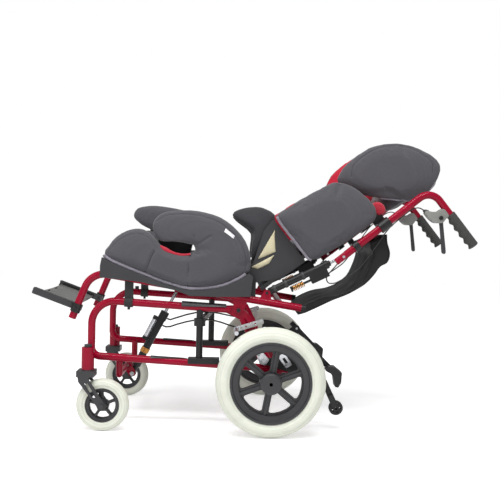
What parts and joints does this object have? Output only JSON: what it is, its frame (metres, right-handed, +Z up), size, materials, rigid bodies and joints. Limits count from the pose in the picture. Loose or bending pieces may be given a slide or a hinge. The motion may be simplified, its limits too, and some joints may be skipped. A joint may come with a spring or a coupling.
{
  "type": "special needs stroller",
  "caption": "Postural stroller for a disabled child, with tilting seat, reclining padded backrest, headrest, footrest, casters and braked rear wheels.",
  "frame": {"origin": "on the floor, in the middle of the overall length and width", "axes": "+Z up, the front of the stroller faces -X, its left side faces -Y"},
  "size_m": [1.3198, 0.608, 0.8684],
  "materials": {
    "red_paint": "gloss",
    "black_paint": "satin",
    "black_plastic": "matte",
    "black_rubber": "matte",
    "tyre_rubber": "matte",
    "steel": "satin",
    "light_link": "satin",
    "grey_cloth": "matte",
    "black_cloth": "matte",
    "grey_plastic": "satin",
    "sling_cloth": "matte"
  },
  "bodies": {
    "base": {"side_frame_left": "red_paint", "side_frame_right": "red_paint", "cross_frame": "red_paint", "struts": "black_paint", "seat_stops": "black_rubber", "slide_channels": "black_plastic", "pivot_pins": "steel", "rear_axles": "steel", "anti_tip_arms": "black_paint", "brake_brackets": "black_paint", "cables": "black_rubber"},
    "seat": {"seat_frame": "red_paint", "seat_pan": "black_cloth", "seat_cushion": "grey_cloth", "seat_wing_left": "grey_cloth", "seat_wing_right": "grey_cloth", "seat_fittings": "black_paint"},
    "footrest": {"foot_rails": "grey_plastic", "foot_sling": "sling_cloth"},
    "back": {"back_shell": "black_plastic", "back_pad": "grey_cloth", "hip_pads": "grey_cloth", "back_wings": "grey_cloth", "push_tubes": "red_paint", "tube_clamps": "black_paint", "back_bag": "black_cloth", "grips": "black_rubber", "lever_housings": "grey_plastic", "headrest_knob": "red_paint", "tube_bolts": "steel"},
    "headrest": {"headrest_pad": "grey_cloth", "headrest_stem": "steel"},
    "tilt_spring": {"tilt_cylinder": "black_paint"},
    "tilt_piston": {"tilt_rod": "steel"},
    "recline_spring_left": {"recline_cylinder_left": "black_paint"},
    "recline_piston_left": {"recline_rod_left": "steel"},
    "fork_left_body": {"fork_left": "black_paint"},
    "caster_left": {"caster_tyre_left": "tyre_rubber", "caster_rim_left": "black_plastic"},
    "wheel_left": {"tyre_left": "tyre_rubber", "rim_left": "black_plastic"},
    "roller_left_body": {"roller_left": "black_plastic"},
    "pedal_left_body": {"pedal_left": "black_plastic"},
    "brake_left": {"brake_arm_left": "steel"},
    "cam_left_body": {"cam_left": "steel"},
    "link_left_body": {"link_left": "light_link"},
    "lever_left_body": {"lever_left": "grey_plastic"},
    "recline_spring_right": {"recline_cylinder_right": "black_paint"},
    "recline_piston_right": {"recline_rod_right": "steel"},
    "fork_right_body": {"fork_right": "black_paint"},
    "caster_right": {"caster_tyre_right": "tyre_rubber", "caster_rim_right": "black_plastic"},
    "wheel_right": {"tyre_right": "tyre_rubber", "rim_right": "black_plastic"},
    "roller_right_body": {"roller_right": "black_plastic"},
    "pedal_right_body": {"pedal_right": "black_plastic"},
    "brake_right": {"brake_arm_right": "steel"},
    "cam_right_body": {"cam_right": "steel"},
    "link_right_body": {"link_right": "light_link"},
    "lever_right_body": {"lever_right": "grey_plastic"}
  },
  "joints": [
    {"name": "tilt", "type": "hinge", "parent": "base", "child": "seat", "pos_m": [-0.04546, 0, 0.353], "axis": [0, 1, 0], "range_deg": [0, 25]},
    {"name": "recline", "type": "hinge", "parent": "seat", "child": "back", "pos_m": [-0.03033, 0, 0.43768], "axis": [0, -1, 0], "range_deg": [0, 43]},
    {"name": "headrest_height", "type": "slide", "parent": "back", "child": "headrest", "axis": [0.7815, 0, 0.6239], "range_m": [0, 0.06]},
    {"name": "footrest_flip", "type": "hinge", "parent": "seat", "child": "footrest", "pos_m": [-0.52339, 0, 0.35008], "axis": [0, 1, 0], "range_deg": [0, 60]},
    {"name": "tilt_spring_swing", "type": "hinge", "parent": "base", "child": "tilt_spring", "pos_m": [-0.38046, 0, 0.125], "axis": [0, -1, 0], "range_deg": [0, 1.27]},
    {"name": "tilt_spring_stroke", "type": "slide", "parent": "tilt_spring", "child": "tilt_piston", "axis": [0.4576, 0, 0.8892], "range_m": [0, 0.0874]},
    {"name": "recline_spring_swing_left", "type": "hinge", "parent": "seat", "child": "recline_spring_left", "pos_m": [0.03746, -0.178, 0.40493], "axis": [0, -1, 0], "range_deg": [0, 47.01]},
    {"name": "recline_spring_stroke_left", "type": "slide", "parent": "recline_spring_left", "child": "recline_piston_left", "axis": [0.8962, 0, 0.4437], "range_m": [0, 0.0511]},
    {"name": "caster_swivel_left", "type": "hinge", "parent": "base", "child": "fork_left_body", "pos_m": [-0.47746, -0.225, 0.152], "axis": [0, 0, 1], "continuous": true},
    {"name": "caster_roll_left", "type": "hinge", "parent": "fork_left_body", "child": "caster_left", "pos_m": [-0.43246, -0.225, 0.076], "axis": [0, 1, 0], "continuous": true},
    {"name": "wheel_roll_left", "type": "hinge", "parent": "base", "child": "wheel_left", "pos_m": [0.04954, -0.272, 0.1575], "axis": [0, 1, 0], "continuous": true},
    {"name": "roller_spin_left", "type": "hinge", "parent": "base", "child": "roller_left_body", "pos_m": [0.24954, -0.178, 0.066], "axis": [0, 1, 0], "continuous": true},
    {"name": "pedal_left", "type": "hinge", "parent": "base", "child": "pedal_left_body", "pos_m": [0.16154, -0.1946, 0.252], "axis": [0, 1, 0], "range_deg": [0, 20]},
    {"name": "brake_arm_left", "type": "hinge", "parent": "base", "child": "brake_left", "pos_m": [-0.00946, -0.1946, 0.31], "axis": [0, -1, 0], "range_deg": [0, 10.25]},
    {"name": "brake_cam_left", "type": "hinge", "parent": "base", "child": "cam_left_body", "pos_m": [0.03154, -0.1946, 0.204], "axis": [0, 1, 0], "range_deg": [0, 20.1]},
    {"name": "brake_link_left", "type": "hinge", "parent": "brake_left", "child": "link_left_body", "pos_m": [0.01854, -0.201, 0.319], "axis": [0, 1, 0], "range_deg": [0, 3.85]},
    {"name": "hand_lever_left", "type": "hinge", "parent": "back", "child": "lever_left_body", "pos_m": [0.54631, -0.178, 0.63698], "axis": [0, -1, 0], "range_deg": [0, 18], "stiffness_Nm_per_rad": 1.2, "springref_deg": -5.73},
    {"name": "recline_spring_swing_right", "type": "hinge", "parent": "seat", "child": "recline_spring_right", "pos_m": [0.03746, 0.178, 0.40493], "axis": [0, -1, 0], "range_deg": [0, 47.01]},
    {"name": "recline_spring_stroke_right", "type": "slide", "parent": "recline_spring_right", "child": "recline_piston_right", "axis": [0.8962, 0, 0.4437], "range_m": [0, 0.0511]},
    {"name": "caster_swivel_right", "type": "hinge", "parent": "base", "child": "fork_right_body", "pos_m": [-0.47746, 0.225, 0.152], "axis": [0, 0, 1], "continuous": true},
    {"name": "caster_roll_right", "type": "hinge", "parent": "fork_right_body", "child": "caster_right", "pos_m": [-0.43246, 0.225, 0.076], "axis": [0, 1, 0], "continuous": true},
    {"name": "wheel_roll_right", "type": "hinge", "parent": "base", "child": "wheel_right", "pos_m": [0.04954, 0.272, 0.1575], "axis": [0, 1, 0], "continuous": true},
    {"name": "roller_spin_right", "type": "hinge", "parent": "base", "child": "roller_right_body", "pos_m": [0.24954, 0.178, 0.066], "axis": [0, 1, 0], "continuous": true},
    {"name": "pedal_right", "type": "hinge", "parent": "base", "child": "pedal_right_body", "pos_m": [0.16154, 0.1946, 0.252], "axis": [0, 1, 0], "range_deg": [0, 20]},
    {"name": "brake_arm_right", "type": "hinge", "parent": "base", "child": "brake_right", "pos_m": [-0.00946, 0.1946, 0.31], "axis": [0, -1, 0], "range_deg": [0, 10.25]},
    {"name": "brake_cam_right", "type": "hinge", "parent": "base", "child": "cam_right_body", "pos_m": [0.03154, 0.1946, 0.204], "axis": [0, 1, 0], "range_deg": [0, 20.1]},
    {"name": "brake_link_right", "type": "hinge", "parent": "brake_right", "child": "link_right_body", "pos_m": [0.01854, 0.201, 0.319], "axis": [0, 1, 0], "range_deg": [0, 3.85]},
    {"name": "hand_lever_right", "type": "hinge", "parent": "back", "child": "lever_right_body", "pos_m": [0.54631, 0.178, 0.63698], "axis": [0, -1, 0], "range_deg": [0, 18], "stiffness_Nm_per_rad": 1.2, "springref_deg": -5.73}
  ],
  "couplings": [
    {"joint": "tilt_spring_swing", "follows": "tilt", "ratio": 0.04287},
    {"joint": "tilt_spring_stroke", "follows": "tilt", "m_per_rad": 0.19808},
    {"joint": "recline_spring_swing_left", "follows": "recline", "ratio": 1.0816},
    {"joint": "recline_spring_stroke_left", "follows": "recline", "m_per_rad": 0.06674},
    {"joint": "brake_arm_left", "follows": "pedal_left", "ratio": 0.51},
    {"joint": "brake_cam_left", "follows": "pedal_left", "ratio": 1},
    {"joint": "brake_link_left", "follows": "pedal_left", "ratio": 0.19},
    {"joint": "recline_spring_swing_right", "follows": "recline", "ratio": 1.0816},
    {"joint": "recline_spring_stroke_right", "follows": "recline", "m_per_rad": 0.06674},
    {"joint": "brake_arm_right", "follows": "pedal_right", "ratio": 0.51},
    {"joint": "brake_cam_right", "follows": "pedal_right", "ratio": 1},
    {"joint": "brake_link_right", "follows": "pedal_right", "ratio": 0.19}
  ]
}
